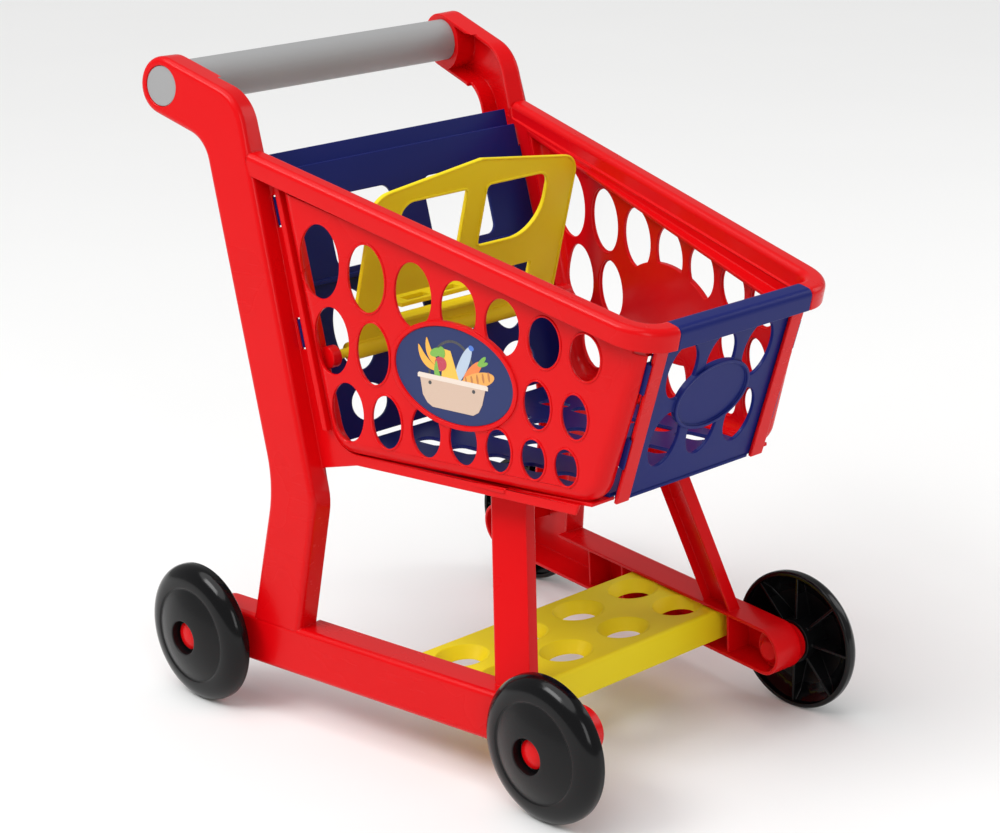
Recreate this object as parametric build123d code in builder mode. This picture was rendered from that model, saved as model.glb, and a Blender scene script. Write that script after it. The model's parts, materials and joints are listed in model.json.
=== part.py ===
"""Toy shopping cart: two side mouldings carry a basket, a shelf, a handle, a doll seat and four wheels.

The frame stands on the XY plane, +Z is up, the front points to -Y, and the cart is symmetric about X = 0.
Everything that lies in a side moulding is drawn on side_plane, whose u runs back along the moulding from
the front axle, whose v runs up from the top of the rail, and whose normal points outwards.
"""

from build123d import *
import os

os.makedirs("parts", exist_ok=True)

# Driving dimensions, in millimetres
wheel_radius = 46.0
wheelbase = 280.0
front_axle_y = -148.4
wheel_track_front = 125.2  # from the middle of the cart to a front wheel's outer ring
wheel_track_rear = 161.1
wheel_width = 13.8
hub_length = 16.2
hub_dome = 5.5
disc_radius = 31.8
shoulder_depth = 10.0
hub_bore = 8.06
hub_recess = 11.2

rail_top_z = 64.0
side_half_width = 103.6  # at the front axle and the rail's top
side_toe = 0.134  # the sides spread towards the rear
side_splay = 0.055  # and towards the floor
rail_height = 32.0
rail_depth = 23.0
post_depth = 17.0
wall = 2.4
edge_radius = 4.0

handle_radius = 13.9
handle_wall = 2.2
handle_uv = (327.8, 332.0)
knob_radius = 18.5

rim_width = 14.0
rim_height = 13.5
rim_slope = 0.207
rim_front_z = 303.0
rim_front_y = front_axle_y - 36.0  # inner edge of the rim across the front
rim_joint_x = 57.5
rim_corner_radius = 28.0

pan_half_width = 85.4  # the pan spreads more to the rear than the post and rail do
pan_toe = 0.1706
pan_splay = 0.035
flange_face = 14.0
pan_depth = 12.5  # from the pan's face to the basket's inside
front_lean = 0.302
rear_lean = 0.29
strip_y = front_axle_y - 8.0  # the front strip's face, where the basket's bottom is
basket_bottom_z = 187.0

fit = 0.05
gap = 0.4

rear_axle_y = front_axle_y + wheelbase
side_plane = Plane(
    origin=(side_half_width, front_axle_y, rail_top_z),
    x_dir=(side_toe, 1, 0),
    z_dir=(1, -side_toe, side_splay),
)
pan_plane = Plane(
    origin=(pan_half_width, front_axle_y, rail_top_z),
    x_dir=(pan_toe, 1, 0),
    z_dir=(1, -pan_toe, pan_splay),
)
rim_plane = Plane(
    origin=(0, rim_front_y, rim_front_z),
    x_dir=(1, 0, 0),
    z_dir=(0, -rim_slope, 1),
)


def side_x(y, z, inboard=0.0):
    """Half width of the side's outer plane at a point, less a distance inboard."""
    return side_half_width + side_toe * (y - front_axle_y) - side_splay * (z - rail_top_z) - inboard


def front_y(z):
    """The front strip's face at a height: the front leans forward towards its top."""
    return strip_y - front_lean * (z - basket_bottom_z)


def rear_y(z):
    """The rear panel's forward face at a height: it leans back towards its top."""
    return front_axle_y + 252.0 - rear_lean * (362.0 - z)


def ellipse_row(start, step, growth, count):
    """Places along the side of a row of ovals that spread towards the rear."""
    places = [start]
    for index in range(count - 1):
        places.append(places[-1] + step + growth * index)
    return places


# Rows of ovals in the side: places, height of the row, and how width and height grow to the rear
oval_rows = (
    (ellipse_row(3.6, 28.6, 1.68, 7), (211.9, 0.1323), (22.0, 0.045), (28.5, 0.088)),
    ([9.6, 36.1, 157.8, 190.8], (175.2, 0.0789), (18.5, 0.047), (27.0, 0.080)),
    (ellipse_row(14.7, 23.4, 1.52, 7), (144.3, 0.0155), (16.2, 0.050), (22.0, 0.085)),
)
label_uv = (96.3, 185.0)
label_size = (47.0, 32.2)
label_tilt = 6.0

# Corners of the pan that bulges out of the basket's side: rear top, rear bottom, front bottom, front top
pan_corners = ((234.0, 283.0), (190.5, 118.8), (-6.5, 124.4), (-36.5, 219.0))
pan_corner_radius = 20.0
pan_edge_radius = 9.0

# The flat flange behind the pan runs from the post's front wall to the front corner
flange_corners = ((257.0, 291.0), (202.5, 105.0), (172.0, 113.0), (4.0, 118.5), (-33.0, 229.0))

floor_plane = Plane(
    origin=(0, front_axle_y, 189.4),
    x_dir=(1, 0, 0),
    z_dir=(0, 0.0556, 1),
)
front_plane = Plane(
    origin=(0, strip_y, basket_bottom_z),
    x_dir=(1, 0, 0),
    z_dir=(0, -1, -front_lean),
)
rear_plane = Plane(
    origin=(0, front_axle_y + 252.0 - rear_lean * (362.0 - basket_bottom_z), basket_bottom_z),
    x_dir=(1, 0, 0),
    z_dir=(0, -1, rear_lean),
)


def post_outline():
    """The S-shaped rear post, which ends in the round knob about the handle."""
    along = Vector(1, 0.2826).normalized() * knob_radius
    across = Vector(-along.Y, along.X)
    knob = Vector(*handle_uv)
    with BuildSketch() as outline:
        with BuildLine():
            FilletPolyline(
                knob + along + across,
                (262, 332.6),
                (195, 85),
                (207.5, -5),
                (247.5, -5),
                (231.6, 90.6),
                (291, 302.4),
                knob + along - across,
                radius=[knob_radius - 0.1, 28, 40, 3, 3, 90, 22, knob_radius - 0.1],
                close=True,
            )
        make_face()
    return outline.sketch_local


def rail_outline():
    """The bottom rail, rounded about both axles."""
    with BuildSketch() as outline:
        with Locations((wheelbase / 2, -rail_height / 2)):
            SlotCenterToCenter(wheelbase + 2, rail_height)
    return outline.sketch_local


def pan_outline(inset=0.0):
    """The bulging pan of the basket's side."""
    with BuildSketch() as outline:
        with BuildLine():
            Polyline(*pan_corners, close=True)
        make_face()
        fillet(outline.vertices().sort_by(Axis.Y)[:2], pan_corner_radius)
        if inset:
            offset(amount=-inset)
    return outline.sketch_local


def side_ovals():
    """Rows of ovals through the pan's face."""
    with BuildSketch() as outline:
        for places, rise, widths, heights in oval_rows:
            for u in places:
                with Locations((u, rise[0] + rise[1] * u)):
                    Ellipse((widths[0] + widths[1] * u) / 2, (heights[0] + heights[1] * u) / 2, rotation=-4)
    return outline.sketch_local


def frame_inside():
    """The hollow of the post and rail, which leaves the handle's socket solid."""
    with BuildSketch() as outline:
        add(post_outline())
        add(rail_outline())
        offset(amount=-wall)
        with Locations(handle_uv):
            Circle(knob_radius + 2, mode=Mode.SUBTRACT)
    return outline.sketch_local


def outside_face(builder):
    """The face of a piece of the side that looks outwards most."""
    return builder.faces().sort_by(Axis(side_plane.origin, side_plane.z_dir))[-1]


with BuildPart() as post_bar:
    with BuildSketch(side_plane):
        add(post_outline())
    extrude(amount=-post_depth)
    fillet(outside_face(post_bar).outer_wire().edges(), edge_radius)

with BuildPart() as rail_bar:
    with BuildSketch(side_plane):
        add(rail_outline())
    extrude(amount=-rail_depth)
    fillet(outside_face(rail_bar).outer_wire().edges(), edge_radius)

def leg_outline(height, inset, depth):
    """A section of the front leg: it rises from the rail and leans inwards and back to the basket's floor."""
    rise = height - rail_top_z
    corner = (95.8 - 0.2513 * rise, front_axle_y + 32.0 + 0.2885 * rise, height)
    section_plane = Plane(origin=corner, x_dir=(side_toe, 1, 0), z_dir=(0, 0, 1))
    with BuildSketch(section_plane) as outline:
        with Locations((inset, inset)):
            Rectangle(28 - 2 * inset, depth, align=Align.MIN)
        if not inset:
            fillet(outline.vertices().group_by(Axis.X)[-1], 3)
    return outline.sketch


leg_top_z = 183.8

with BuildPart() as leg_bar:
    loft([leg_outline(61.8, 0, 9), leg_outline(leg_top_z, 0, 9)])
    loft([leg_outline(61.0, wall, 12), leg_outline(186.5, wall, 12)], mode=Mode.SUBTRACT)

with BuildPart() as pan_outer:
    with BuildSketch(pan_plane):
        add(pan_outline())
    extrude(amount=-18)
    bulge_edges = outside_face(pan_outer).outer_wire().edges().sort_by(Axis.Z)[:-1]
    fillet(bulge_edges, pan_edge_radius)

with BuildPart() as pan_inner:
    with BuildSketch(pan_plane.offset(-wall)):
        add(pan_outline(wall))
    extrude(amount=-40)
    bulge_edges = outside_face(pan_inner).outer_wire().edges().sort_by(Axis.Z)[:-1]
    fillet(bulge_edges, pan_edge_radius - wall)

with BuildPart() as basket_room:
    with BuildSketch(pan_plane.offset(-pan_depth)):
        with Locations((90, 190)):
            Rectangle(420, 300)
    extrude(amount=-90)
    with BuildSketch(front_plane.offset(-wall)):
        with Locations((60, 100)):
            Rectangle(200, 400)
    extrude(amount=-400, mode=Mode.INTERSECT)


def rim_outline(inset=0.0):
    """The rim of one side seen from above: along the side, round the front corner and up to the joint."""
    rim_rear = (front_axle_y + 253.0 - rim_front_y) / 0.979
    with BuildSketch() as outline:
        with BuildLine():
            outer_line = FilletPolyline(
                (rim_joint_x, -rim_width + inset),
                (84.2 - inset, -rim_width + inset),
                (85.9 + 0.12 * rim_rear - inset, rim_rear),
                radius=rim_corner_radius - inset,
            )
            inner_line = FilletPolyline(
                (rim_joint_x, -inset),
                (71.7 + inset, -inset),
                (71.7 + 0.12 * rim_rear + inset, rim_rear),
                radius=rim_corner_radius - rim_width + inset,
            )
            Line(outer_line @ 0, inner_line @ 0)
            Line(outer_line @ 1, inner_line @ 1)
        make_face()
    return outline.sketch_local


with BuildPart() as rim_bar:
    with BuildSketch(rim_plane):
        add(rim_outline())
    extrude(amount=-rim_height)
    rim_top = rim_bar.faces().sort_by(Axis(rim_plane.origin, rim_plane.z_dir))[-1]
    along_rim = rim_top.outer_wire().edges().filter_by(lambda edge: edge.length > 60)
    fillet(along_rim, 4.5)

def socket_at(radius, inner_x, outer_x, y, z):
    """A round bar along X, used for bosses, sockets and bores."""
    with BuildPart() as bar:
        with BuildSketch(Plane(origin=(inner_x, y, z), x_dir=(0, 1, 0), z_dir=(1, 0, 0))):
            Circle(radius)
        extrude(amount=outer_x - inner_x)
    return bar.part


handle_y = front_axle_y + 327.0
handle_z = 395.6
handle_end_x = 124.5
boss_faces = ((front_axle_y, wheel_track_front - hub_length - 0.4), (rear_axle_y, wheel_track_rear - hub_length - 0.4))
boss_radius = 13.0
boss_depth = 16.0
pin_radius = 8.0
seat_pivot_y = front_axle_y + 200.0
seat_pivot_z = 240.0
seat_pivot_radius = 3.0
seat_rod_y = front_axle_y + 217.0
seat_rod_z = 262.0
rod_radius = 2.5
rear_tab_heights = (144.8, 67.7)
rail_ribs = (34.0, 142.0, 178.0)
front_slots = (34.0, 84.0)
panel_thickness = 2.4


def rear_half_width(height):
    """Half width of the rear panel at a height up its plane."""
    z = basket_bottom_z + 0.96 * height
    return side_x(rear_y(z), z, flange_face + wall + 0.7)



with BuildPart() as side_frame_left:
    # Post and rail: one channel, open to the inside
    add(post_bar.part)
    add(rail_bar.part)
    with BuildSketch(side_plane.offset(-wall)):
        add(frame_inside())
    extrude(amount=-rail_depth, mode=Mode.SUBTRACT)
    # Ribs across the rail's channel
    for place in rail_ribs:
        with BuildSketch(side_plane.offset(-wall / 2)):
            with Locations((place, -rail_height / 2)):
                Rectangle(2, rail_height - wall)
        extrude(amount=-rail_depth + 4)
    # Flat flange, and its strip across the front
    with BuildSketch(side_plane.offset(-flange_face)):
        with BuildLine():
            Polyline(*flange_corners, close=True)
        make_face()
    extrude(amount=-wall)
    with BuildSketch(pan_plane):
        add(pan_outline())
    extrude(amount=20, both=True, mode=Mode.SUBTRACT)
    with BuildSketch(front_plane):
        with BuildLine():
            Polyline((54.2, 0), (65, 0), (65, 112), (58, 112), (58, 105), (54.2, 105), close=True)
        make_face()
    extrude(amount=-wall)
    # Pan, which bulges out of the flange, with a raised plate for the label, then its ovals
    add(pan_outer.part)
    add(pan_inner.part, mode=Mode.SUBTRACT)
    add(basket_room.part, mode=Mode.SUBTRACT)
    with BuildSketch(front_plane.offset(-wall)):
        with Locations((53, 47)):
            Rectangle(27.2, 114)
    extrude(amount=-4, mode=Mode.SUBTRACT)
    with BuildSketch(pan_plane.offset(4)):
        add(side_ovals())
    extrude(amount=-12, mode=Mode.SUBTRACT)
    with BuildSketch(pan_plane.offset(-wall)):
        with Locations(label_uv):
            Ellipse(*label_size, rotation=label_tilt)
    extrude(amount=wall + 1.6)
    with BuildSketch(pan_plane.offset(0.2)):
        with Locations(label_uv):
            Ellipse(label_size[0] - 3, label_size[1] - 3, rotation=label_tilt)
    extrude(amount=5, mode=Mode.SUBTRACT)
    # Rim, hollow from below
    add(rim_bar.part)
    with BuildSketch(rim_plane.offset(-wall)):
        add(rim_outline(wall))
        with Locations((rim_joint_x, 0)):
            Rectangle(2 * wall, 4 * rim_width, mode=Mode.SUBTRACT)
        with Locations((120, 292)):
            Rectangle(80, 12, mode=Mode.SUBTRACT)
    extrude(amount=-rim_height, mode=Mode.SUBTRACT)
    # The strip that stiffens the flange beside the post
    with BuildSketch(side_plane.offset(-flange_face)):
        with BuildLine():
            Polyline((192.5, 132), (196.5, 132), (240.5, 284), (236.5, 284), close=True)
        make_face()
    extrude(amount=5)
    # Slots that take the rear and front panels' tabs
    for height in rear_tab_heights:
        with BuildSketch(rear_plane.offset(gap)):
            with Locations((rear_half_width(height), height)):
                Rectangle(7, 20)
        extrude(amount=-panel_thickness - 2 * gap, mode=Mode.SUBTRACT)
    for height in front_slots:
        with BuildSketch(front_plane.offset(0.5)):
            with Locations((65.8, height)):
                Rectangle(2.4, 22)
        extrude(amount=-wall - 1.2, mode=Mode.SUBTRACT)
    # Ledge under the basket's floor, with the pad on which the leg ends
    with BuildSketch(floor_plane):
        with BuildLine():
            Polyline((59, -1), (78, -1), (107.5, 184), (89, 184), close=True)
        make_face()
        with BuildLine():
            Polyline((58, 58), (92, 58), (96, 104), (60, 104), close=True)
        make_face()
    extrude(amount=-wall)
    add(leg_bar.part)
    # Socket for the handle, and a boss for each axle pin
    for axle_y, boss_x in boss_faces:
        add(socket_at(boss_radius, boss_x - boss_depth, boss_x, axle_y, wheel_radius))
    for axle_y, boss_x in boss_faces:
        add(socket_at(pin_radius, 60, 180, axle_y, wheel_radius), mode=Mode.SUBTRACT)
    add(socket_at(handle_radius, 60, handle_end_x, handle_y, handle_z), mode=Mode.SUBTRACT)
    add(socket_at(handle_radius - 1, 60, 180, handle_y, handle_z), mode=Mode.SUBTRACT)
    # Collar for the seat's pivot
    add(socket_at(7, 99, 106, seat_pivot_y, seat_pivot_z))
    add(socket_at(seat_pivot_radius + fit, 90, 103, seat_pivot_y, seat_pivot_z), mode=Mode.SUBTRACT)

with BuildPart() as side_frame_right:
    mirror(side_frame_left.part, about=Plane.YZ)

with BuildPart() as side_label_left:
    with BuildSketch(pan_plane.offset(0.2)):
        with Locations(label_uv):
            Ellipse(label_size[0] - 3.4, label_size[1] - 3.4, rotation=label_tilt)
    extrude(amount=0.4)

with BuildPart() as side_label_right:
    mirror(side_label_left.part, about=Plane.YZ)


# Front panel: flat, behind the side mouldings' strips, with the rim's middle length on top
plaque_size = (32.0, 22.5)

with BuildPart() as front_panel:
    with BuildSketch(front_plane.offset(-wall - gap)):
        with BuildLine():
            Polyline((-62, 0.6), (62, 0.6), (62, 100), (56.8, 100), (56.8, 119), (-56.8, 119), (-56.8, 100),
                     (-62, 100), close=True)
        make_face()
        with Locations((0, 58)):
            with GridLocations(33, 46, 3, 2):
                Ellipse(12.5, 18.5, mode=Mode.SUBTRACT)
        with Locations((0, 58)):
            Ellipse(*plaque_size)
    extrude(amount=-panel_thickness)
    with BuildSketch(front_plane.offset(-wall - gap)):
        with Locations((0, 58)):
            Ellipse(*plaque_size)
            Ellipse(plaque_size[0] - 2.2, plaque_size[1] - 2.2, mode=Mode.SUBTRACT)
    extrude(amount=1.6)
    # Tabs in the slots of the strips, and the lip below the floor
    for height in front_slots:
        with BuildSketch(front_plane.offset(-wall - gap)):
            with Locations((-65.6, height), (65.6, height)):
                Rectangle(1.4, 20)
        extrude(amount=wall - 0.4)
        with BuildSketch(front_plane.offset(-wall - gap)):
            with Locations((-63, height), (63, height)):
                Rectangle(6.6, 20)
        extrude(amount=-panel_thickness)
    with BuildSketch(floor_plane.offset(-0.3)):
        with Locations((0, 1)):
            Rectangle(106, 14)
    extrude(amount=-2.2)
    # The rim across the front, hollow from below
    with BuildSketch(rim_plane):
        with Locations((0, -rim_width / 2)):
            Rectangle(2 * rim_joint_x - gap, rim_width)
    extrude(amount=-rim_height)
    rim_top = front_panel.faces().filter_by(lambda face: face.normal_at().Z > 0.97).sort_by(Axis.Z)[-1]
    fillet(rim_top.edges().filter_by(Axis.X), 4.5)
    with BuildSketch(rim_plane.offset(-wall)):
        with Locations((0, -rim_width / 2)):
            Rectangle(2 * rim_joint_x - gap - 2 * wall, rim_width - 2 * wall)
    extrude(amount=-rim_height, mode=Mode.SUBTRACT)
    with BuildSketch(front_plane.offset(-wall - gap)):
        with Locations((0, 108)):
            Rectangle(113, 10)
    extrude(amount=-panel_thickness)


# Rear panel: leans back, steps back into a lip at its top, and has two leg holes and a row of ovals
rear_top = 169.0
rear_bottom = -5.0


with BuildPart() as rear_panel:
    low = rear_half_width(rear_bottom)
    high = rear_half_width(rear_top)
    with BuildSketch(rear_plane):
        with BuildLine():
            Polyline((-low, rear_bottom), (low, rear_bottom), (high, rear_top), (-high, rear_top), close=True)
        make_face()
        with Locations((-41.5, 124), (41.5, 124)):
            RectangleRounded(55, 46, 7, mode=Mode.SUBTRACT)
        with Locations((-66, 62), (-22, 62), (22, 62), (66, 62)):
            Ellipse(17, 26, mode=Mode.SUBTRACT)
        with Locations((-66, 15), (-22, 15), (22, 15), (66, 15)):
            Ellipse(15, 12, mode=Mode.SUBTRACT)
    extrude(amount=-panel_thickness)
    # Step and lip along the top
    with BuildSketch(rear_plane):
        with Locations((0, rear_top - panel_thickness / 2)):
            Rectangle(2 * high - 4, panel_thickness)
    extrude(amount=-11)
    with BuildSketch(rear_plane.offset(-11 + panel_thickness)):
        with Locations((0, rear_top + 5)):
            Rectangle(2 * high + 4, 12)
    extrude(amount=-panel_thickness)
    # Stiffening bar between the leg holes and the ovals
    with BuildSketch(rear_plane):
        with Locations((0, 95.5)):
            Rectangle(2 * high - 12, 3)
    extrude(amount=3)
    # Tabs in the slots of the side mouldings
    for height in rear_tab_heights:
        tab_x = rear_half_width(height)
        with BuildSketch(rear_plane):
            with Locations((-tab_x, height), (tab_x, height)):
                Rectangle(5.6, 18)
        extrude(amount=-panel_thickness)
    # Ears that hold the seat plate's rod
    with BuildSketch(Plane.YZ.offset(46)) as ear_outline:
        with Locations((seat_rod_y, seat_rod_z)):
            Circle(5.5)
        with Locations((seat_rod_y + 5.5, seat_rod_z)):
            Rectangle(11, 11)
    extrude(amount=4)
    mirror(about=Plane.YZ)
    add(socket_at(rod_radius, -60, 60, seat_rod_y, seat_rod_z), mode=Mode.SUBTRACT)


with BuildPart() as basket_floor:
    with BuildSketch(floor_plane):
        with BuildLine():
            Polyline((-63.5, -1.5), (63.5, -1.5), (101, 196), (-101, 196), close=True)
        make_face()
        with Locations((0, 100)):
            with GridLocations(36, 30, 4, 5):
                SlotOverall(24, 12, rotation=90, mode=Mode.SUBTRACT)
    extrude(amount=2.5)


# Bottom shelf: it slides into the rails' channels, has a bent front lip and dished ovals
shelf_top_z = 59.6
shelf_thickness = 2.6
shelf_front = 46.0
shelf_rear = 131.0

with BuildPart() as bottom_shelf:
    shelf_plane = Plane(origin=(0, front_axle_y, shelf_top_z), x_dir=(1, 0, 0), z_dir=(0, 0, 1))
    front_half = side_x(front_axle_y + shelf_front, shelf_top_z, wall + 2)
    rear_half = side_x(front_axle_y + shelf_rear, shelf_top_z, wall + 2)
    with BuildSketch(shelf_plane):
        with BuildLine():
            Polyline((-front_half, shelf_front), (front_half, shelf_front), (rear_half, shelf_rear),
                     (-rear_half, shelf_rear), close=True)
        make_face()
    extrude(amount=-shelf_thickness)
    with BuildSketch(Plane(origin=(0, front_axle_y + shelf_front, shelf_top_z), x_dir=(1, 0, 0), z_dir=(0, -1, 0))):
        with Locations((0, -10.5)):
            Rectangle(2 * front_half, 21)
    extrude(amount=-shelf_thickness)
    with BuildSketch(Plane(origin=(0, front_axle_y + shelf_rear, shelf_top_z), x_dir=(1, 0, 0), z_dir=(0, -1, 0))):
        with Locations((0, -4)):
            Rectangle(2 * rear_half - 6, 8)
    extrude(amount=shelf_thickness)
    lip_edges = bottom_shelf.edges().filter_by(Axis.X).filter_by(lambda edge: edge.length > 100)
    fillet(lip_edges.group_by(Axis.Y)[0].sort_by(Axis.Z)[-1], 2.4)
    for grow, mode in ((2.2, Mode.ADD), (0.0, Mode.SUBTRACT)):
        for row in (70.0, 110.0):
            for x in (-78.0, -26.0, 26.0, 78.0):
                with BuildSketch(shelf_plane) as dish_top:
                    with Locations((x, row)):
                        Ellipse(19 + grow, 15 + grow)
                with BuildSketch(shelf_plane.offset(-8)) as dish_bottom:
                    with Locations((x, row)):
                        Ellipse(13.5 + grow, 9.5 + grow)
                loft(mode=mode)


with BuildPart() as handle_tube:
    add(socket_at(handle_radius, -handle_end_x, handle_end_x, handle_y, handle_z))
    add(socket_at(handle_radius - handle_wall, -130, 130, handle_y, handle_z), mode=Mode.SUBTRACT)

with BuildPart() as handle_plug_left:
    add(socket_at(handle_radius - handle_wall, handle_end_x - 16, handle_end_x, handle_y, handle_z))
    add(socket_at(handle_radius - 1.2, handle_end_x, handle_end_x + 20, handle_y, handle_z))
    split(bisect_by=side_plane.offset(-0.6), keep=Keep.BOTTOM)

with BuildPart() as handle_plug_right:
    mirror(handle_plug_left.part, about=Plane.YZ)


# Doll seat: the back leans forward and pivots at its foot, the plate hangs on a rod in the rear panel's ears
seat_lean = 0.25
seat_thickness = 3.0
seat_half_width = 88.0
seat_plane = Plane(
    origin=(0, seat_pivot_y, seat_pivot_z),
    x_dir=(1, 0, 0),
    z_dir=(0, -1, -seat_lean),
)

with BuildPart() as seat_back:
    with BuildSketch(seat_plane.offset(seat_thickness / 2)):
        with BuildLine():
            Polyline((-seat_half_width, -5), (seat_half_width, -5), (seat_half_width, 105), (0, 117),
                     (-seat_half_width, 105), close=True)
        make_face()
        fillet(vertices().group_by(Axis.Y)[-2], 14)
        for side in (-1, 1):
            with BuildLine():
                FilletPolyline(
                    (side * 8, 54.5), (side * 64, 54.5), (side * 64, 98.5), (side * 8, 98.5),
                    radius=[4, 26, 10, 4],
                    close=True,
                )
            make_face(mode=Mode.SUBTRACT)
        with Locations((0, 26)):
            Rectangle(124, 15, mode=Mode.SUBTRACT)
    extrude(amount=-seat_thickness)
    # Ledge below the gap, and a bead along the top
    with BuildSketch(seat_plane.offset(seat_thickness / 2)):
        with Locations((0, 17)):
            Rectangle(128, 3)
    extrude(amount=5)
    add(socket_at(6, -seat_half_width, seat_half_width, seat_pivot_y, seat_pivot_z))
    add(socket_at(seat_pivot_radius, -102, 102, seat_pivot_y, seat_pivot_z))

with BuildPart() as seat_rod:
    add(socket_at(rod_radius, -52, 52, seat_rod_y, seat_rod_z))

with BuildPart() as seat_plate:
    with BuildSketch(Plane(origin=(0, seat_rod_y, seat_rod_z + 1.5), x_dir=(1, 0, 0), z_dir=(0, 0, 1))):
        with Locations((0, -9)):
            Rectangle(90, 20)
        with Locations((-27, -12), (0, -12), (27, -12)):
            Rectangle(20, 8, mode=Mode.SUBTRACT)
    extrude(amount=-3)
    add(socket_at(4.6, -45, 45, seat_rod_y, seat_rod_z))
    add(socket_at(rod_radius + fit, -60, 60, seat_rod_y, seat_rod_z), mode=Mode.SUBTRACT)


def wheel_at(name, side, axle_y, ring_x):
    """A wheel turned about X: tyre shoulder, domed disc, hub with a recess, and ribs in its hollow back."""
    with BuildPart() as wheel:
        with BuildSketch(Plane.XY):
            with BuildLine():
                Polyline(
                    (0, disc_radius),
                    (-0.7, disc_radius - 0.6),
                )
                ThreePointArc((-0.7, disc_radius - 0.6), (3.4, 21.6), (hub_dome, hub_recess + 1.2))
                Polyline(
                    (hub_dome, hub_recess + 1.2),
                    (hub_dome, hub_recess),
                    (-1.5, hub_recess),
                    (-1.5, hub_bore),
                    (-hub_length, hub_bore),
                    (-hub_length, 14.5),
                    (1.2, 14.5),
                    (-3.4, 31.0),
                    (-5.4, 37.0),
                    (-10.0, wheel_radius - 3.2),
                    (-wheel_width, wheel_radius - 3.2),
                    (-wheel_width, wheel_radius - 1.0),
                    (-wheel_width + 1.0, wheel_radius),
                    (-shoulder_depth, wheel_radius),
                )
                EllipticalCenterArc(
                    (-shoulder_depth, disc_radius),
                    shoulder_depth,
                    wheel_radius - disc_radius,
                    arc_size=90,
                )
            make_face()
        revolve(axis=Axis.X)
        with BuildSketch(Plane.YZ.offset(-12)):
            with PolarLocations(28.5, 8):
                Rectangle(29, 2)
        extrude(until=Until.NEXT)
    placed = wheel.part.moved(Location((ring_x, axle_y, wheel_radius)))
    if side < 0:
        placed = placed.mirror(Plane.YZ)
    placed.label = name
    export_step(placed, f"parts/{name}.step")


def pin_at(name, side, axle_y, boss_x, ring_x):
    """An axle pin: domed head in the wheel's recess, shaft through wheel and boss, snap ring at the end."""
    dome_height = hub_dome - 3.0 - 0.6
    head_radius = hub_recess - 2.0
    dome_radius = (head_radius**2 + dome_height**2) / (2 * dome_height)
    with BuildPart() as pin:
        with BuildSketch(Plane.XY):
            with BuildLine():
                shaft = Polyline(
                    (hub_dome - 3.0, 0),
                    (boss_x - boss_depth - ring_x - 6, 0),
                    (boss_x - boss_depth - ring_x - 6, pin_radius - 2),
                    (boss_x - boss_depth - ring_x - 3, pin_radius + 1),
                    (boss_x - boss_depth - ring_x, pin_radius + 1),
                    (boss_x - boss_depth - ring_x, pin_radius),
                    (-1.2, pin_radius),
                    (-1.2, head_radius),
                    (0.6, head_radius),
                )
                RadiusArc(shaft @ 1, shaft @ 0, dome_radius)
            make_face()
        revolve(axis=Axis.X)
    placed = pin.part.moved(Location((ring_x, axle_y, wheel_radius)))
    if side < 0:
        placed = placed.mirror(Plane.YZ)
    placed.label = name
    export_step(placed, f"parts/{name}.step")


for side, side_name in ((-1, "right"), (1, "left")):
    for place, (axle_y, boss_x), ring_x in (
        ("front", boss_faces[0], wheel_track_front),
        ("rear", boss_faces[1], wheel_track_rear),
    ):
        wheel_at(f"wheel_{place}_{side_name}", side, axle_y, ring_x)
        pin_at(f"axle_pin_{place}_{side_name}", side, axle_y, boss_x, ring_x)

pieces = {
    "side_frame_left": side_frame_left,
    "side_frame_right": side_frame_right,
    "side_label_left": side_label_left,
    "side_label_right": side_label_right,
    "front_panel": front_panel,
    "rear_panel": rear_panel,
    "basket_floor": basket_floor,
    "bottom_shelf": bottom_shelf,
    "handle_tube": handle_tube,
    "handle_plug_left": handle_plug_left,
    "handle_plug_right": handle_plug_right,
    "seat_back": seat_back,
    "seat_rod": seat_rod,
    "seat_plate": seat_plate,
}
for name, piece in pieces.items():
    piece.part.label = name
    export_step(piece.part, f"parts/{name}.step")
    print(name, piece.part.is_valid, len(piece.part.solids()))
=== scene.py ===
import json
import math
import bmesh
import bpy
from mathutils import Matrix, Vector


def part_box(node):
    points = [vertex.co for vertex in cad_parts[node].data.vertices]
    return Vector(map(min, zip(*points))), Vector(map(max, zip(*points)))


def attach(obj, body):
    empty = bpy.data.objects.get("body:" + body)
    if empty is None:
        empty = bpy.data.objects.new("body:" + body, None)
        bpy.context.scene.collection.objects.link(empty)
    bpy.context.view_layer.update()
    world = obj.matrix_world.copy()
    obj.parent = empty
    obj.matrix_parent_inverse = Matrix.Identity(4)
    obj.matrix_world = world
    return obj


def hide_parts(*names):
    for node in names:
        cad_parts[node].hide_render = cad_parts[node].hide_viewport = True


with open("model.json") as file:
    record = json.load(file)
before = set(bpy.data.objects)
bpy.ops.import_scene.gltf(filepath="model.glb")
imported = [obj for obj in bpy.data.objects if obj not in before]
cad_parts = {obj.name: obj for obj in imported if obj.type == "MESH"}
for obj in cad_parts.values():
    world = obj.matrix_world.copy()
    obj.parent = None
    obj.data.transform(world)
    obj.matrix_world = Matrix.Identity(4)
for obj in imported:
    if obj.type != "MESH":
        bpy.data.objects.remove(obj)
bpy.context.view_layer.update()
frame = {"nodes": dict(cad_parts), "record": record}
mm = 0.001
print("frame loaded:", len(frame["nodes"]), "nodes")


# where the camera stands and how it is turned, in metres and degrees
view = {
    "place": (-1.0531, -1.0814, 0.6881),
    "azimuth": -44.049,
    "elevation": 18.289,
    "roll": -0.24,
    "lens": 89.66,
    "sensor": 36.0,
}

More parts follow.
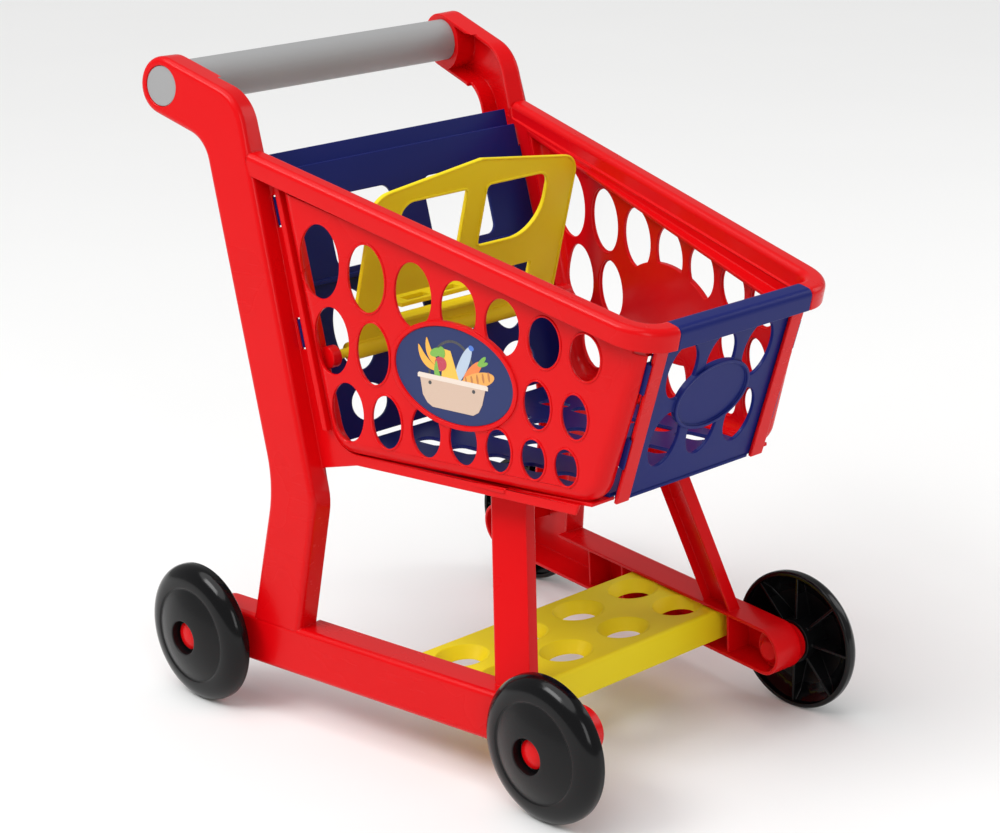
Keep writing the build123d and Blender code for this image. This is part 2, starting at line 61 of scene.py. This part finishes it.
studio = {
    "floorColour": (0.9, 0.9, 0.895, 1),
    "floorLightColour": (0.92, 0.92, 0.915, 1),
    "floorRoughness": 0.75,
    "floorMottle": 3.0,
    "floorReach": 30.0,
    "worldColour": (1.0, 1.0, 1.0, 1),
    "worldStrength": 0.42,
    # soft overhead sun: direction it shines in, how wide it looks (degrees), strength
    "sun": ((0.35, -0.1, -1.0), 60, 1.55),
    # name: place, what it points at, width and height, power
    "lamps": {
        "keySoftbox": ((-1.5, 0.5, 1.7), (0, 0, 0.2), (1.0, 0.7), 17),
        "sideSoftbox": ((-1.1, -2.0, 1.2), (0, 0, 0.2), (0.7, 1.1), 9),
        "farSoftbox": ((1.9, -0.9, 1.2), (0, 0, 0.2), (0.8, 1.2), 7),
    },
}


def buildCamera():
    data = bpy.data.cameras.new("camera")
    data.sensor_width = view["sensor"]
    data.lens = view["lens"]
    data.clip_start = 0.05
    data.clip_end = 60
    camera = bpy.data.objects.new("camera", data)
    bpy.context.scene.collection.objects.link(camera)
    tilt = Matrix.Rotation(math.radians(90 - view["elevation"]), 4, "X")
    turn = Matrix.Rotation(math.radians(view["azimuth"]), 4, "Z")
    roll = Matrix.Rotation(math.radians(view["roll"]), 4, "Z")
    camera.matrix_world = Matrix.Translation(view["place"]) @ turn @ tilt @ roll
    bpy.context.scene.camera = camera


def buildLamps():
    for name, (place, target, size, power) in studio["lamps"].items():
        data = bpy.data.lights.new(name, "AREA")
        data.shape = "RECTANGLE"
        data.size, data.size_y = size
        data.energy = power
        lamp = bpy.data.objects.new(name, data)
        aim = Vector(target) - Vector(place)
        lamp.matrix_world = Matrix.Translation(place) @ aim.to_track_quat("-Z", "Y").to_matrix().to_4x4()
        bpy.context.scene.collection.objects.link(lamp)
    direction, width, strength = studio["sun"]
    data = bpy.data.lights.new("overheadSun", "SUN")
    data.angle = math.radians(width)
    data.energy = strength
    sun = bpy.data.objects.new("overheadSun", data)
    sun.matrix_world = Vector(direction).to_track_quat("-Z", "Y").to_matrix().to_4x4()
    bpy.context.scene.collection.objects.link(sun)
    world = bpy.data.worlds.new("studioWorld")
    world.use_nodes = True
    backdrop = world.node_tree.nodes["Background"]
    backdrop.inputs["Color"].default_value = studio["worldColour"]
    backdrop.inputs["Strength"].default_value = studio["worldStrength"]
    bpy.context.scene.world = world


bpy.context.scene.view_settings.view_transform = "Standard"
buildCamera()
buildLamps()
print("camera and lamps set")


class Signal:
    # one socket of a finish, so that shader maths reads as plain expressions
    def __init__(self, finish, socket):
        self.finish = finish
        self.socket = socket

    def join(self, operation, first, second):
        return self.finish.node("ShaderNodeMath", {"operation": operation}, {0: first, 1: second})

    def __add__(self, other):
        return self.join("ADD", self, other)

    def __radd__(self, other):
        return self.join("ADD", other, self)

    def __sub__(self, other):
        return self.join("SUBTRACT", self, other)

    def __rsub__(self, other):
        return self.join("SUBTRACT", other, self)

    def __mul__(self, other):
        return self.join("MULTIPLY", self, other)

    def __rmul__(self, other):
        return self.join("MULTIPLY", other, self)


class Finish:
    # a material with one shader; node() adds any other node
    def __init__(self, name):
        self.material = bpy.data.materials.new(name)
        self.material.use_nodes = True
        self.tree = self.material.node_tree
        self.shader = self.tree.nodes["Principled BSDF"]

    def node(self, kind, settings=None, sockets=None, output=0):
        made = self.tree.nodes.new(kind)
        for key, value in (settings or {}).items():
            setattr(made, key, value)
        for key, value in (sockets or {}).items():
            if isinstance(value, Signal):
                self.tree.links.new(value.socket, made.inputs[key])
            else:
                made.inputs[key].default_value = value
        return Signal(self, made.outputs[output])

    def place(self):
        return self.node("ShaderNodeTexCoord", output=3)

    def mottle(self, scale, detail=2.0, stretch=(1, 1, 1)):
        spot = self.node("ShaderNodeVectorMath", {"operation": "MULTIPLY"}, {0: self.place(), 1: stretch})
        return self.node("ShaderNodeTexNoise", {}, {"Vector": spot, "Scale": scale, "Detail": detail})

    def blendOf(self, factor, first, second):
        return self.node("ShaderNodeMix", {"data_type": "RGBA"}, {0: factor, 6: first, 7: second}, 2)

    def bump(self, strength, distance, height):
        return self.node("ShaderNodeBump", {}, {"Strength": strength, "Distance": distance, "Height": height})

    def ramp(self, value, low, high):
        return self.node("ShaderNodeMapRange", {"interpolation_type": "SMOOTHSTEP"},
                         {"Value": value, "From Min": low, "From Max": high})

    def set(self, **sockets):
        for key, value in sockets.items():
            target = self.shader.inputs[key.replace("_", " ")]
            if isinstance(value, Signal):
                self.tree.links.new(value.socket, target)
            else:
                target.default_value = value


# every plastic has moulding mottle, fine grain and handling wear
plastics = {
    # two shades, base roughness, how much it varies, grain size (per metre), grain depth, coat, specular
    "redPlastic": ((0.62, 0.0008, 0.002, 1), (0.73, 0.002, 0.005, 1), 0.28, 0.10, 900, 0.05, 0.07, 0.14),
    "bluePlastic": ((0.005, 0.010, 0.115, 1), (0.007, 0.015, 0.150, 1), 0.36, 0.12, 1100, 0.10, 0.03, 0.14),
    "yellowPlastic": ((0.88, 0.68, 0.008, 1), (0.93, 0.75, 0.015, 1), 0.50, 0.12, 1500, 0.22, 0.0, 0.2),
    "greyPlastic": ((0.31, 0.31, 0.315, 1), (0.36, 0.36, 0.36, 1), 0.50, 0.10, 1600, 0.20, 0.0, 0.2),
}


plasticTexture = {
    # noise sizes are repeats per metre
    "flowScale": 9.0,
    "swellScale": 38.0,
    "scuffScale": 160.0,
    "scuffStretch": (1, 0.12, 1.6),
    "scuffRange": (0.60, 0.74),
    "scuffRoughness": 0.05,
    "grainShare": 0.35,
    "reliefDepth": 0.6 * mm,
    "coatRoughness": 0.09,
}


def plasticFinish(name):
    texture = plasticTexture
    shade, lightShade, roughness, spread, grainScale, grainDepth, coat, specular = plastics[name]
    finish = Finish(name)
    flow = finish.mottle(texture["flowScale"], 3.0)
    rubbing = finish.mottle(texture["scuffScale"], 4.0, texture["scuffStretch"])
    scuffs = finish.ramp(rubbing, *texture["scuffRange"])
    grain = finish.mottle(grainScale, 2.0)
    swell = finish.mottle(texture["swellScale"], 2.0)
    relief = grain * texture["grainShare"] + swell * (1 - texture["grainShare"])
    normal = finish.bump(grainDepth, texture["reliefDepth"], relief)
    finish.set(
        Base_Color=finish.blendOf(flow, shade, lightShade),
        Roughness=roughness + spread * (flow - 0.5) + texture["scuffRoughness"] * scuffs,
        Normal=normal,
        Coat_Weight=coat,
        Coat_Roughness=texture["coatRoughness"],
        Specular_IOR_Level=specular,
    )
    return finish.material


blackWheel = {
    "shade": (0.002, 0.002, 0.0025, 1),
    "faceShade": (0.0035, 0.0035, 0.004, 1),
    "glossRoughness": 0.13,
    "faceRoughness": 0.33,
    "faceRadius": 31.8 * mm,
    "edgeBlend": 0.5 * mm,
    "flowScale": 16.0,
    "grainScale": 1700.0,
    "rubScale": 120.0,
    "rubRange": (0.55, 0.75),
    "reliefStrength": 0.22,
    "reliefDepth": 0.5 * mm,
    "coat": 0.07,
    "coatRoughness": 0.06,
    "specular": 0.22,
}


def wheelFinish(name, middle):
    # glossy shoulder, finer matte face: the face is what lies inside the ring about the wheel's middle
    values = blackWheel
    finish = Finish(name)
    arm = finish.node("ShaderNodeVectorMath", {"operation": "SUBTRACT"}, {0: finish.place(), 1: middle})
    flat = finish.node("ShaderNodeVectorMath", {"operation": "MULTIPLY"}, {0: arm, 1: (0, 1, 1)})
    radius = finish.node("ShaderNodeVectorMath", {"operation": "LENGTH"}, {0: flat}, 1)
    face = 1 - finish.ramp(radius, values["faceRadius"] - values["edgeBlend"], values["faceRadius"])
    flow = finish.mottle(values["flowScale"], 3.0)
    grain = finish.mottle(values["grainScale"], 2.0)
    rub = finish.ramp(finish.mottle(values["rubScale"], 4.0), *values["rubRange"])
    normal = finish.bump(values["reliefStrength"], values["reliefDepth"], grain * face + flow * 0.1)
    gloss = values["glossRoughness"] + 0.05 * flow + 0.07 * rub
    finish.set(
        Base_Color=finish.blendOf(face, values["shade"], values["faceShade"]),
        Roughness=gloss * (1 - face) + (values["faceRoughness"] + 0.1 * flow) * face,
        Normal=normal,
        Coat_Weight=values["coat"],
        Coat_Roughness=values["coatRoughness"],
        Specular_IOR_Level=values["specular"],
    )
    return finish.material


labelPrint = {
    "sink": 0.3 * mm,
    "shade": (0.0065, 0.018, 0.10, 1),
    "lightShade": (0.008, 0.022, 0.125, 1),
    "roughness": 0.42,
    "layerStep": 0.015 * mm,
    "firstLayer": 0.03 * mm,
    "flowScale": 30.0,
    "fibreScale": 2400.0,
    "fibreStrength": 0.06,
    "fibreDepth": 0.3 * mm,
    "fadeScale": 1400.0,
    "fade": 0.10,
    "fadeColour": (0.9, 0.9, 0.88, 1),
}


def labelFinish():
    finish = Finish("labelBlue")
    flow = finish.mottle(labelPrint["flowScale"], 3.0)
    fibres = finish.mottle(labelPrint["fibreScale"], 2.0)
    finish.set(Base_Color=finish.blendOf(flow, labelPrint["shade"], labelPrint["lightShade"]),
               Roughness=labelPrint["roughness"] + 0.1 * flow,
               Normal=finish.bump(labelPrint["fibreStrength"], labelPrint["fibreDepth"], fibres))
    return finish.material


finishes = {name: plasticFinish(name) for name in plastics}
finishes["labelBlue"] = labelFinish()
print("finishes made:", len(finishes))


# each CAD node's copy gets its sharp edges rounded as a mould leaves them
edgeRounding = {
    # width of the rounding and the angle past which an edge gets it
    "side_frame": (0.55 * mm, 32),
    "front_panel": (0.5 * mm, 32),
    "rear_panel": (0.5 * mm, 32),
    "basket_floor": (0.45 * mm, 32),
    "bottom_shelf": (0.5 * mm, 32),
    "seat_back": (0.6 * mm, 32),
    "seat_plate": (0.45 * mm, 32),
    "seat_rod": (0.4 * mm, 32),
    "handle_tube": (0.4 * mm, 32),
    "handle_plug": (0.5 * mm, 32),
    "wheel": (0.5 * mm, 25),
    "axle_pin": (0.5 * mm, 32),
    "side_label": (0.1 * mm, 32),
}


moulding = {
    "mergeDistance": 0.002 * mm,
    "shortestEdge": 0.05 * mm,
    "bevelSegments": 2,
    "sharpAngle": 38,
}


def newPiece(name, mesh):
    piece = bpy.data.objects.new(name, mesh)
    bpy.context.scene.collection.objects.link(piece)
    return piece


def settle(piece):
    # modifiers become plain mesh
    bpy.context.view_layer.update()
    shaped = piece.evaluated_get(bpy.context.evaluated_depsgraph_get())
    mesh = bpy.data.meshes.new_from_object(shaped)
    piece.modifiers.clear()
    piece.data = mesh
    return piece


def roundedCopy(nodeName, pieceName, material, width, angle):
    mesh = frame["nodes"][nodeName].data.copy()
    mesh.materials.clear()
    mesh.materials.append(material)
    work = bmesh.new()
    work.from_mesh(mesh)
    bmesh.ops.remove_doubles(work, verts=work.verts, dist=moulding["mergeDistance"])
    bmesh.ops.dissolve_degenerate(work, edges=work.edges, dist=moulding["shortestEdge"])
    for face in work.faces:
        face.smooth = True
        face.material_index = 0
    work.to_mesh(mesh)
    work.free()
    piece = newPiece(pieceName, mesh)
    bevel = piece.modifiers.new("edge", "BEVEL")
    bevel.width = width
    bevel.segments = moulding["bevelSegments"]
    bevel.limit_method = "ANGLE"
    bevel.angle_limit = math.radians(angle)
    bevel.use_clamp_overlap = False
    bevel.loop_slide = False
    settle(piece)
    piece.data.set_sharp_from_angle(angle=math.radians(moulding["sharpAngle"]))
    weights = piece.modifiers.new("weights", "WEIGHTED_NORMAL")
    weights.keep_sharp = True
    return settle(piece)


def bodyOf(nodeName):
    for body, members in frame["record"]["behaviour"]["bodies"].items():
        if nodeName in members:
            return body
    return None


slotOf = {row["node"]: row["material_slot"] for row in frame["record"]["subparts"]}
finishOfSlot = {
    "red_plastic": "redPlastic",
    "blue_plastic": "bluePlastic",
    "yellow_plastic": "yellowPlastic",
    "grey_plastic": "greyPlastic",
    "label": "labelBlue",
}


def finishFor(nodeName):
    if nodeName.startswith("wheel"):
        low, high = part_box(nodeName)
        middle = tuple((a + b) / 2 for a, b in zip(low, high))
        return wheelFinish("black" + nodeName.title().replace("_", ""), middle)
    return finishes[finishOfSlot[slotOf[nodeName]]]


def camel(nodeName):
    first, *rest = nodeName.split("_")
    return first + "".join(word.title() for word in rest)


for nodeName, node in frame["nodes"].items():
    width, angle = next(value for key, value in edgeRounding.items() if nodeName.startswith(key))
    material = finishFor(nodeName)
    piece = roundedCopy(nodeName, camel(nodeName), material, width, angle)
    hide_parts(nodeName)
    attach(piece, bodyOf(nodeName))
    print("moulding", piece.name, len(piece.data.polygons))


# raised rims round openings, swept by Geometry Nodes along the edges of the mouldings
rims = {
    # node: piece, shortest and longest way round an opening that gets a rim, rim radius, length of its steps
    "side_frame_left": ("ovalRimsLeft", (0.05, 0.125), 0.75 * mm, 1.4 * mm),
    "side_frame_right": ("ovalRimsRight", (0.05, 0.125), 0.75 * mm, 1.4 * mm),
    "front_panel": ("frontOvalRims", (0.03, 0.16), 0.7 * mm, 1.4 * mm),
    "seat_back": ("seatBackRims", (0.08, 0.60), 0.9 * mm, 1.6 * mm),
}

rimMaking = {
    "sides": 8,
    "levelTolerance": 0.12 * mm,
    "fewestPoints": 8,
    "sameFlat": 0.9995,  # cosine of the angle within which faces count as one flat
}


def mergedCopy(nodeName):
    work = bmesh.new()
    work.from_mesh(frame["nodes"][nodeName].data)
    bmesh.ops.remove_doubles(work, verts=work.verts, dist=moulding["mergeDistance"])
    bmesh.ops.dissolve_degenerate(work, edges=work.edges, dist=moulding["shortestEdge"])
    work.normal_update()
    return work


def widestFace(work, towards, closeness=0.8):
    # outward direction and level of the largest flat area that faces roughly towards a direction
    areas = {}
    for face in work.faces:
        if face.normal.dot(towards) > closeness:
            height = face.normal.dot(face.verts[0].co)
            area = face.calc_area()
            key = tuple(round(part, 2) for part in face.normal) + (round(height, 3),)
            total, normal, raised = areas.get(key, (0, Vector(), 0))
            areas[key] = (total + area, normal + face.normal * area, raised + height * area)
    total, normal, raised = max(areas.values(), key=lambda entry: entry[0])
    return normal.normalized(), raised / total


def openingLoops(work, normal, level):
    # closed runs of edges where a flat at that level meets a wall
    onLevel = {vertex for vertex in work.verts
               if abs(vertex.co.dot(normal) - level) < rimMaking["levelTolerance"]}
    links = {}
    for edge in work.edges:
        flat = [face for face in edge.link_faces if all(vertex in onLevel for vertex in face.verts)]
        if len(flat) != 1:
            continue
        first, second = edge.verts
        links.setdefault(first, []).append(second)
        links.setdefault(second, []).append(first)
    loops = []
    unused = set(links)
    for start in list(links):
        if start not in unused or len(links[start]) != 2:
            continue
        run = [start]
        unused.discard(start)
        here = links[start][0]
        while here in unused and len(links[here]) == 2:
            run.append(here)
            unused.discard(here)
            here = next((far for far in links[here] if far in unused), start)
        if start in links[run[-1]] and len(run) > rimMaking["fewestPoints"]:
            loops.append([vertex.co.copy() for vertex in run])
    return loops


def lengthOf(loop):
    return sum((a - b).length for a, b in zip(loop, loop[1:] + loop[:1]))


def sweptTree(name):
    tree = bpy.data.node_groups.new(name, "GeometryNodeTree")
    face = tree.interface
    face.new_socket("Geometry", in_out="INPUT", socket_type="NodeSocketGeometry")
    face.new_socket("Thickness", in_out="INPUT", socket_type="NodeSocketFloat")
    face.new_socket("Step", in_out="INPUT", socket_type="NodeSocketFloat")
    face.new_socket("Sides", in_out="INPUT", socket_type="NodeSocketInt")
    face.new_socket("Material", in_out="INPUT", socket_type="NodeSocketMaterial")
    face.new_socket("Geometry", in_out="OUTPUT", socket_type="NodeSocketGeometry")
    entry = tree.nodes.new("NodeGroupInput")
    path = tree.nodes.new("GeometryNodeMeshToCurve")
    steps = tree.nodes.new("GeometryNodeResampleCurve")
    steps.mode = "LENGTH"
    profile = tree.nodes.new("GeometryNodeCurvePrimitiveCircle")
    sweep = tree.nodes.new("GeometryNodeCurveToMesh")
    smooth = tree.nodes.new("GeometryNodeSetShadeSmooth")
    solid = tree.nodes.new("GeometryNodeRealizeInstances")
    paint = tree.nodes.new("GeometryNodeSetMaterial")
    leave = tree.nodes.new("NodeGroupOutput")
    links = tree.links
    links.new(entry.outputs["Geometry"], path.inputs["Mesh"])
    links.new(path.outputs["Curve"], steps.inputs["Curve"])
    links.new(entry.outputs["Step"], steps.inputs["Length"])
    links.new(entry.outputs["Sides"], profile.inputs["Resolution"])
    links.new(entry.outputs["Thickness"], profile.inputs["Radius"])
    links.new(steps.outputs["Curve"], sweep.inputs["Curve"])
    links.new(profile.outputs["Curve"], sweep.inputs["Profile Curve"])
    links.new(sweep.outputs["Mesh"], smooth.inputs["Geometry"])
    links.new(smooth.outputs["Geometry"], solid.inputs["Geometry"])
    links.new(solid.outputs["Geometry"], paint.inputs["Geometry"])
    links.new(entry.outputs["Material"], paint.inputs["Material"])
    links.new(paint.outputs["Geometry"], leave.inputs["Geometry"])
    return tree


rimTree = sweptTree("rimSweep")


def sweepLoops(name, loops, thickness, step, material):
    points = [point for loop in loops for point in loop]
    edges = []
    start = 0
    for loop in loops:
        count = len(loop)
        edges += [(start + i, start + (i + 1) % count) for i in range(count)]
        start += count
    mesh = bpy.data.meshes.new(name)
    mesh.from_pydata(points, edges, [])
    piece = newPiece(name, mesh)
    sweep = piece.modifiers.new("sweep", "NODES")
    sweep.node_group = rimTree
    inputs = {item.name: item.identifier for item in rimTree.interface.items_tree if item.in_out == "INPUT"}
    sweep[inputs["Thickness"]] = thickness
    sweep[inputs["Step"]] = step
    sweep[inputs["Sides"]] = rimMaking["sides"]
    sweep[inputs["Material"]] = material
    settle(piece)
    work = bmesh.new()
    work.from_mesh(piece.data)
    bmesh.ops.remove_doubles(work, verts=work.verts, dist=0.001 * mm)
    bmesh.ops.recalc_face_normals(work, faces=work.faces)
    work.to_mesh(piece.data)
    work.free()
    return piece


def faceOf(nodeName):
    # the flat that carries a piece's openings; a side's is level with its label
    work = mergedCopy(nodeName)
    if nodeName.startswith("side_frame"):
        side = nodeName.rsplit("_", 1)[1]
        label = mergedCopy("side_label_" + side)
        towards = widestFace(label, Vector((1 if side == "left" else -1, 0, 0)))[0]
        label.free()
        return work, *widestFace(work, towards, rimMaking["sameFlat"])
    return work, *widestFace(work, Vector((0, -1, 0)))


for nodeName, (pieceName, (shortest, longest), thickness, step) in rims.items():
    work, normal, level = faceOf(nodeName)
    loops = [loop for loop in openingLoops(work, normal, level) if shortest < lengthOf(loop) < longest]
    print("openings with a rim:", nodeName, len(loops), [round(lengthOf(loop), 3) for loop in loops])
    work.free()
    if loops:
        piece = sweepLoops(pieceName, loops, thickness, step, finishFor(nodeName))
        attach(piece, bodyOf(nodeName))


# the side labels carry a plain shopping basket with produce, printed in flat inks
inks = {
    "basket": (0.62, 0.44, 0.33),
    "basketRim": (0.78, 0.66, 0.56),
    "handle": (0.02, 0.02, 0.025),
    "banana": (0.90, 0.42, 0.02),
    "leaf": (0.16, 0.42, 0.03),
    "radish": (0.50, 0.01, 0.05),
    "cheese": (0.88, 0.50, 0.03),
    "bottle": (0.45, 0.55, 0.68),
    "cap": (0.03, 0.15, 0.60),
    "carrot": (0.83, 0.20, 0.02),
    "bread": (0.80, 0.36, 0.05),
    "crust": (0.50, 0.16, 0.02),
}

def disc(middle, across, up, turn=0, count=28):
    spin = math.radians(turn)
    points = []
    for i in range(count):
        angle = 2 * math.pi * i / count
        x, y = across * math.cos(angle), up * math.sin(angle)
        points.append((middle[0] + x * math.cos(spin) - y * math.sin(spin),
                       middle[1] + x * math.sin(spin) + y * math.cos(spin)))
    return points


def crescent(middle, reach, thickness, turn, count=14):
    # a banana: thick in the middle, pointed at its ends
    spin = math.radians(turn)
    outer = []
    inner = []
    for i in range(count + 1):
        t = -1 + 2 * i / count
        x = reach * t
        bend = 0.35 * reach * t * t
        half = thickness * (1 - t * t) ** 0.6 if abs(t) < 1 else 0.02 * reach
        outer.append((x, bend - half))
        inner.append((x, bend + half))
    points = outer + inner[::-1]
    return [(middle[0] + x * math.cos(spin) - y * math.sin(spin),
             middle[1] + x * math.sin(spin) + y * math.cos(spin)) for x, y in points]


def strip(points, width):
    # a band of even width along an open run of points
    left = []
    right = []
    for i, (x, y) in enumerate(points):
        before = points[max(i - 1, 0)]
        after = points[min(i + 1, len(points) - 1)]
        dx, dy = after[0] - before[0], after[1] - before[1]
        size = math.hypot(dx, dy)
        left.append((x - dy / size * width / 2, y + dx / size * width / 2))
        right.append((x + dy / size * width / 2, y - dx / size * width / 2))
    return left + right[::-1]


def handleRun():
    points = []
    for i in range(21):
        angle = math.pi * i / 20
        points.append((17 * math.cos(angle) - 1, -3 + 24 * math.sin(angle)))
    return points


def produce():
    # colour and outline in millimetres, back layer first
    yield "handle", strip(handleRun(), 1.6)
    yield "bottle", disc((7, 8), 3.6, 13, -24)
    yield "cap", disc((12.7, 19.2), 2.0, 1.6, -24)
    yield "cheese", [(-9, -3), (-7.5, 15.5), (-2.5, 15), (4.5, -3)]
    yield "carrot", disc((14, 5), 3.2, 9.5, -42)
    yield "leaf", disc((20.5, 12.5), 1.4, 4.2, -42)
    yield "leaf", disc((21.8, 10.8), 1.2, 3.6, -66)
    yield "bread", disc((18, 0.5), 12.5, 4.6, 19)
    for k in range(5):
        x = 9.5 + 4.1 * k
        yield "crust", disc((x, -1.7 + 1.42 * k), 0.75, 3.0, 12)
    yield "banana", crescent((-20, 5.5), 11.0, 2.3, -38)
    yield "banana", crescent((-16.5, 9.5), 11.0, 2.2, -52)
    yield "leaf", disc((-13, 12.5), 4.8, 2.6, 24)
    yield "leaf", disc((-9.0, 13.0), 2.6, 3.6, 10)
    yield "radish", disc((-9.5, 6.0), 4.3, 4.3)
    yield "leaf", crescent((-11.5, -2.0), 9.0, 2.0, -64)
    yield "basket", [(-25, -3.0), (-22.5, -15), (-19, -19.5), (-15, -21.5),
                     (15, -21.5), (19, -19), (21.5, -14), (24, -3.0)]
    yield "basketRim", [(-26.5, -4.6), (-26.5, -2.4), (-25.5, -1.6), (24.5, -1.6), (25.5, -2.4), (25.5, -4.6)]
    yield "handle", disc((15.2, -6.8), 1.2, 1.2)
    yield "handle", disc((-17.2, -6.8), 1.2, 1.2)


def labelAxes(nodeName, towards):
    work = mergedCopy(nodeName)
    normal, level = widestFace(work, towards)
    work.free()
    low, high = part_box(nodeName)
    middle = (Vector(low) + Vector(high)) / 2
    middle += normal * (level - middle.dot(normal))
    across = Vector((0, 0, 1)).cross(normal).normalized()
    return middle, across, normal.cross(across), normal


def inkFinish():
    finish = Finish("printedInk")
    ink = finish.node("ShaderNodeAttribute", {"attribute_name": "ink"})
    fade = finish.mottle(labelPrint["fadeScale"], 2.0)
    finish.set(Base_Color=finish.blendOf(labelPrint["fade"] * fade, ink, labelPrint["fadeColour"]),
               Roughness=labelPrint["roughness"] + 0.1 * fade)
    return finish.material


inkMaterial = inkFinish()


def labelPicture(name, nodeName, towards):
    middle, across, up, normal = labelAxes(nodeName, towards)
    points = []
    faces = []
    colours = []
    for layer, (ink, outline) in enumerate(produce()):
        area = sum(a[0] * b[1] - a[1] * b[0] for a, b in zip(outline, outline[1:] + outline[:1]))
        if area < 0:
            outline = outline[::-1]
        top = labelPrint["firstLayer"] + labelPrint["layerStep"] * layer
        start = len(points)
        count = len(outline)
        for height in (-labelPrint["sink"], top):
            points += [middle + across * x * mm + up * y * mm + normal * height for x, y in outline]
        faces.append([start + count + i for i in range(count)])
        faces.append([start + i for i in reversed(range(count))])
        faces += [[start + i, start + (i + 1) % count, start + count + (i + 1) % count, start + count + i]
                  for i in range(count)]
        colours += [inks[ink]] * (count + 2)
    mesh = bpy.data.meshes.new(name)
    mesh.from_pydata(points, [], faces)
    attribute = mesh.attributes.new("ink", "FLOAT_COLOR", "CORNER")
    for face, colour in zip(mesh.polygons, colours):
        for corner in face.loop_indices:
            attribute.data[corner].color = (*colour, 1)
    mesh.materials.append(inkMaterial)
    piece = newPiece(name, mesh)
    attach(piece, bodyOf(nodeName))
    return piece


labelPicture("basketPictureLeft", "side_label_left", Vector((1, 0, 0)))
labelPicture("basketPictureRight", "side_label_right", Vector((-1, 0, 0)))
print("labels printed")


def buildFloor():
    finish = Finish("floorPaper")
    soft = finish.mottle(studio["floorMottle"], 2.0)
    finish.set(
        Base_Color=finish.blendOf(soft, studio["floorColour"], studio["floorLightColour"]),
        Roughness=studio["floorRoughness"],
    )
    reach = studio["floorReach"]
    corners = [(-reach, -reach, 0), (reach, -reach, 0), (reach, reach, 0), (-reach, reach, 0)]
    mesh = bpy.data.meshes.new("floor")
    mesh.from_pydata(corners, [], [(0, 1, 2, 3)])
    mesh.materials.append(finish.material)
    newPiece("floor", mesh)


buildFloor()
print("floor laid")
